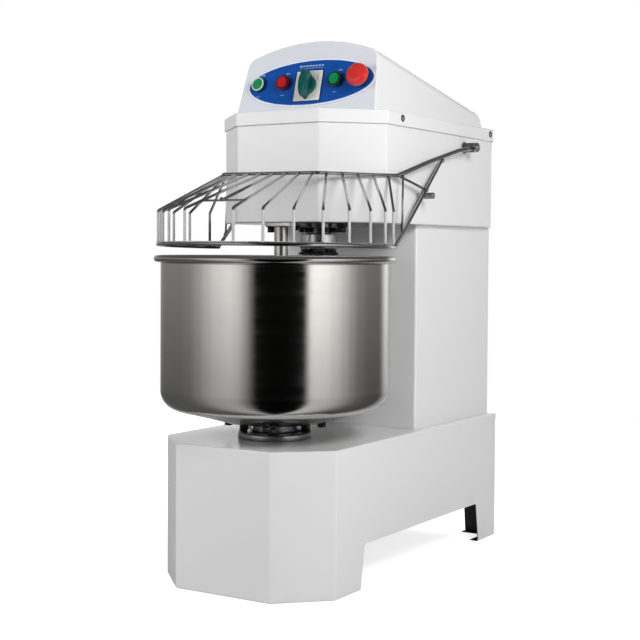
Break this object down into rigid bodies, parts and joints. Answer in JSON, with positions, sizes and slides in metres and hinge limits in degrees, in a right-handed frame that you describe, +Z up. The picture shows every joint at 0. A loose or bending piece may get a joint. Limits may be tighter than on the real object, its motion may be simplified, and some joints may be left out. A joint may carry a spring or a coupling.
{
  "type": "commercial stand mixer",
  "caption": "Commercial spiral dough mixer: white sheet-metal body, turning stainless bowl, spiral hook, breaker bar, lifting wire guard and sloping control panel.",
  "frame": {"origin": "middle of the machine's footprint, on the surface that it stands on", "axes": "+Z up; -Y towards the operator, on the bowl's side; +X on the operator's right"},
  "size_m": [0.424, 0.7765, 0.9549],
  "materials": {
    "white_body": "glossy white powder coat",
    "blue_fascia": "printed film under clear gloss",
    "white_plastic": "satin moulded",
    "green_lens": "translucent lens",
    "green_button": "satin moulded",
    "red_button": "satin moulded",
    "red_mushroom": "satin moulded",
    "teal_knob": "glossy moulded",
    "black_plastic": "fine texture",
    "fastener_steel": "zinc plated",
    "stainless_bowl": "polished, with a faint turned grain",
    "stainless_tool": "satin polish",
    "cast_iron": "machined and oiled",
    "dark_steel": "black oxide",
    "belt_rubber": "matt",
    "motor_paint": "satin enamel",
    "chrome_wire": "bright chrome plate"
  },
  "bodies": {
    "frame": {"base_housing": "white_body", "column_housing": "white_body", "rear_cover": "white_body", "head_housing": "white_body", "top_cover": "white_body", "control_fascia": "blue_fascia", "power_lamp_body": "white_plastic", "power_lamp_lens": "green_lens", "stop_switch_body": "black_plastic", "start_switch_body": "black_plastic", "emergency_switch_body": "black_plastic", "speed_switch_plate": "white_plastic", "speed_cam_switch": "black_plastic", "lid_screw_front_left": "fastener_steel", "lid_screw_rear_left": "fastener_steel", "lid_screw_front_right": "fastener_steel", "lid_screw_rear_right": "fastener_steel", "bowl_bearing_housing": "cast_iron", "bowl_bearing": "fastener_steel", "hook_bearing_housing": "cast_iron", "hook_bearing": "fastener_steel", "breaker_bar": "stainless_tool", "breaker_mount_plate": "fastener_steel", "motor_body": "motor_paint", "motor_plate": "fastener_steel", "drive_belt": "belt_rubber", "hook_chain": "dark_steel", "countershaft_belt": "belt_rubber", "bowl_chain": "dark_steel", "jackshaft_bearing_upper": "cast_iron", "jackshaft_bearing_lower": "cast_iron", "countershaft_bearing": "cast_iron", "pivot_bush_left": "fastener_steel", "pivot_bush_right": "fastener_steel", "guard_stop_left": "fastener_steel", "guard_stop_right": "fastener_steel", "guard_limit_switch": "black_plastic", "cable_gland": "black_plastic", "control_box": "motor_paint"},
    "bowl_drive": {"bowl": "stainless_bowl", "bowl_hub": "cast_iron", "bowl_sprocket": "dark_steel"},
    "hook_drive": {"hook_shaft": "stainless_tool", "hook_flange": "dark_steel", "spiral_hook": "stainless_tool", "hook_sprocket": "dark_steel"},
    "jackshaft_drive": {"jackshaft": "dark_steel", "jackshaft_pulley": "cast_iron"},
    "countershaft_drive": {"countershaft": "dark_steel"},
    "motor_drive": {"motor_pulley": "dark_steel"},
    "guard": {"guard_cage": "chrome_wire", "guard_pivot_left": "chrome_wire", "guard_pivot_right": "chrome_wire"},
    "stop_control": {"stop_button": "red_button"},
    "start_control": {"start_button": "green_button"},
    "emergency_control": {"emergency_stop_head": "red_mushroom"},
    "speed_control": {"speed_switch_knob": "teal_knob"}
  },
  "joints": [
    {"name": "hook_spin", "type": "hinge", "parent": "frame", "child": "hook_drive", "pos_m": [0.02, -0.0675, 0.568], "axis": [0, 0, 1], "continuous": true},
    {"name": "bowl_spin", "type": "hinge", "parent": "frame", "child": "bowl_drive", "pos_m": [0, -0.1765, 0.286], "axis": [0, 0, 1], "continuous": true},
    {"name": "jackshaft_spin", "type": "hinge", "parent": "frame", "child": "jackshaft_drive", "pos_m": [-0.065, 0.2585, 0.5], "axis": [0, 0, 1], "continuous": true},
    {"name": "countershaft_spin", "type": "hinge", "parent": "frame", "child": "countershaft_drive", "pos_m": [0, 0.0235, 0.19], "axis": [0, 0, 1], "continuous": true},
    {"name": "motor_spin", "type": "hinge", "parent": "frame", "child": "motor_drive", "pos_m": [0.065, 0.1435, 0.65], "axis": [0, 0, 1], "continuous": true},
    {"name": "guard_lift", "type": "hinge", "parent": "frame", "child": "guard", "pos_m": [0, 0.2115, 0.7745], "axis": [-1, 0, 0], "range_deg": [0, 95]},
    {"name": "stop_press", "type": "slide", "parent": "frame", "child": "stop_control", "axis": [0, 0.9647, -0.2632], "range_m": [0, 0.003], "stiffness_N_per_m": 800},
    {"name": "start_press", "type": "slide", "parent": "frame", "child": "start_control", "axis": [0, 0.9647, -0.2632], "range_m": [0, 0.003], "stiffness_N_per_m": 800},
    {"name": "emergency_press", "type": "slide", "parent": "frame", "child": "emergency_control", "axis": [0, 0.9647, -0.2632], "range_m": [0, 0.005], "stiffness_N_per_m": 1500},
    {"name": "speed_select", "type": "hinge", "parent": "frame", "child": "speed_control", "pos_m": [0.003, -0.07616, 0.87141], "axis": [0, -0.9647, 0.2632], "range_deg": [-60, 60]}
  ],
  "couplings": [
    {"joint": "bowl_spin", "follows": "hook_spin", "ratio": 0.1},
    {"joint": "jackshaft_spin", "follows": "hook_spin", "ratio": 2},
    {"joint": "countershaft_spin", "follows": "hook_spin", "ratio": 0.4},
    {"joint": "motor_spin", "follows": "hook_spin", "ratio": 6.3333}
  ]
}
